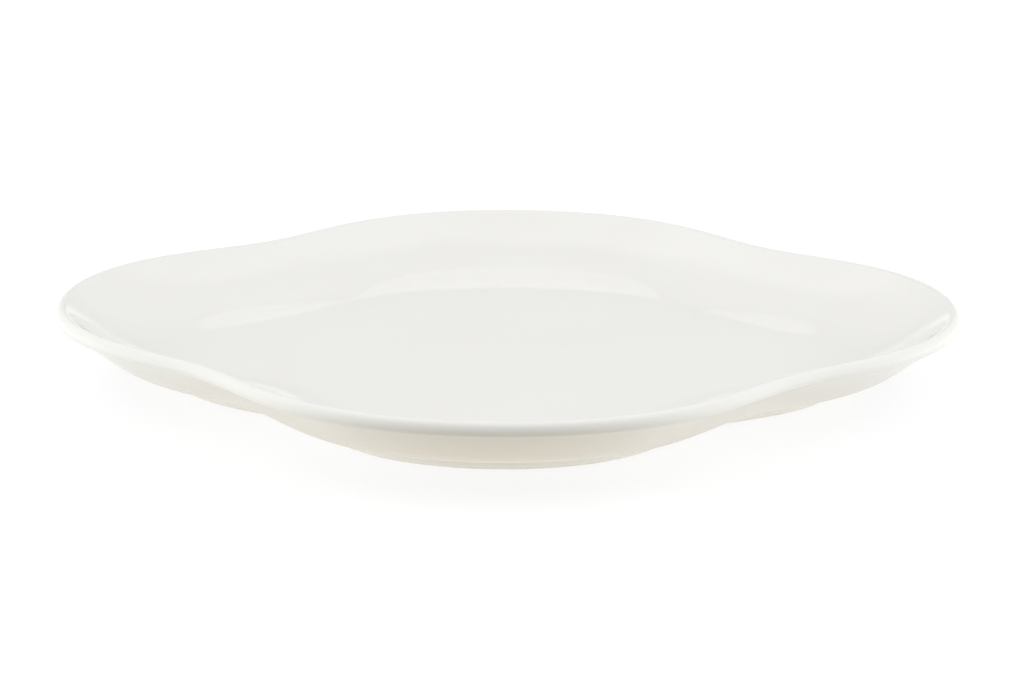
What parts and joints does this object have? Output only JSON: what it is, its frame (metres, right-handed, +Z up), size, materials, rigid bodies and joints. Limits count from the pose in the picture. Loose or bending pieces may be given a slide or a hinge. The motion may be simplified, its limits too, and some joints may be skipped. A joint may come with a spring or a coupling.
{
  "type": "lobed dinner plate",
  "caption": "Low glazed porcelain dinner plate with a lobed outline, a flat floor, a rising rim, a rolled lip and a bare foot ring.",
  "frame": {"origin": "middle of the plane that the foot ring stands on", "axes": "+Z up along the plate's axis, +X and +Y towards two neighbouring lobes"},
  "size_m": [0.2698, 0.2698, 0.0229],
  "materials": {
    "bare_porcelain": "bare fired clay, smoothed on the contact face",
    "outer_glaze": "clear gloss over warm white clay",
    "base_glaze": "clear gloss over warm white clay"
  },
  "bodies": {
    "root": {"porcelain_body": "bare_porcelain", "outer_glaze": "outer_glaze", "base_glaze": "base_glaze"}
  },
  "joints": []
}
